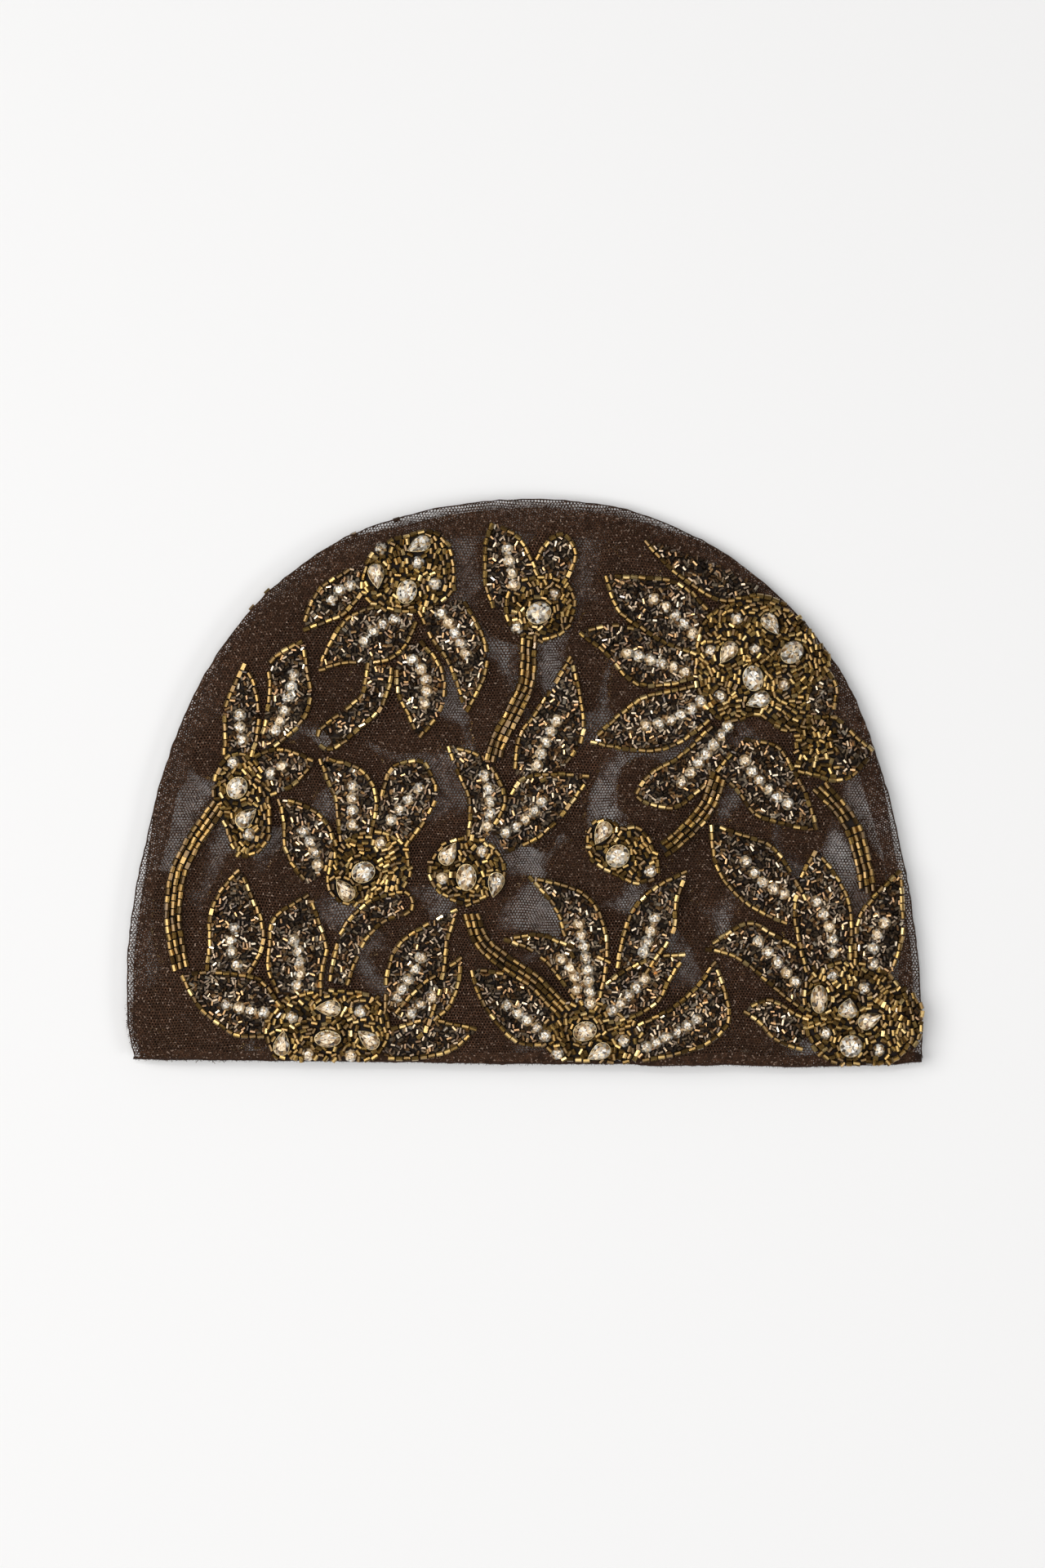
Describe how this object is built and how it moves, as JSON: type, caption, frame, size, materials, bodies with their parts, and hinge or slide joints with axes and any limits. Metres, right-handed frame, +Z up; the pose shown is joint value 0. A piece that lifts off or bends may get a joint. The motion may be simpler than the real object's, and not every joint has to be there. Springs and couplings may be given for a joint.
{
  "type": "beaded skull cap",
  "caption": "Close-fitting half-moon cap of dark brown tulle with bead leaves, flowers and faceted stones on both panels, lying flat with its straight edge open.",
  "frame": {"origin": "under the middle of the cap as it lies flat, on the floor it rests on", "axes": "+Z up off the floor, +Y from the open straight edge to the crown, +X to the right seen from above"},
  "size_m": [0.2602, 0.1844, 0.0166],
  "materials": {
    "tulle": "fine hexagonal net, matte, dark chocolate brown",
    "beads": "cut glass beads with a metallic olive-bronze coat",
    "stones": "faceted foil-backed crystal, clear to champagne"
  },
  "bodies": {
    "root": {"front_panel": "tulle", "back_panel": "tulle", "front_top_left_flower": "beads", "front_top_middle_flower": "beads", "front_top_right_flower": "beads", "front_left_flower": "beads", "front_middle_left_flower": "beads", "front_middle_flower": "beads", "front_right_bud": "beads", "front_bottom_left_flower": "beads", "front_bottom_middle_flower": "beads", "front_bottom_right_flower": "beads", "back_top_left_flower": "beads", "back_top_middle_flower": "beads", "back_top_right_flower": "beads", "back_left_flower": "beads", "back_middle_left_flower": "beads", "back_middle_flower": "beads", "back_right_bud": "beads", "back_bottom_left_flower": "beads", "back_bottom_middle_flower": "beads", "back_bottom_right_flower": "beads", "stone_01_pear": "stones", "stone_02_pear": "stones", "stone_03_oval": "stones", "stone_04_oval": "stones", "stone_05_pear": "stones", "stone_06_pear": "stones", "stone_07_oval": "stones", "stone_08_oval": "stones", "stone_09_pear": "stones", "stone_10_oval": "stones", "stone_11_pear": "stones", "stone_12_oval": "stones", "stone_13_pear": "stones", "stone_14_pear": "stones", "stone_15_oval": "stones", "stone_16_pear": "stones", "stone_17_pear": "stones", "stone_18_oval": "stones", "stone_19_pear": "stones", "stone_20_pear": "stones", "stone_21_oval": "stones", "stone_22_pear": "stones", "stone_23_oval": "stones", "stone_24_pear": "stones", "stone_25_oval": "stones", "stone_26_pear": "stones", "stone_27_pear": "stones", "stone_28_oval": "stones"}
  },
  "joints": []
}
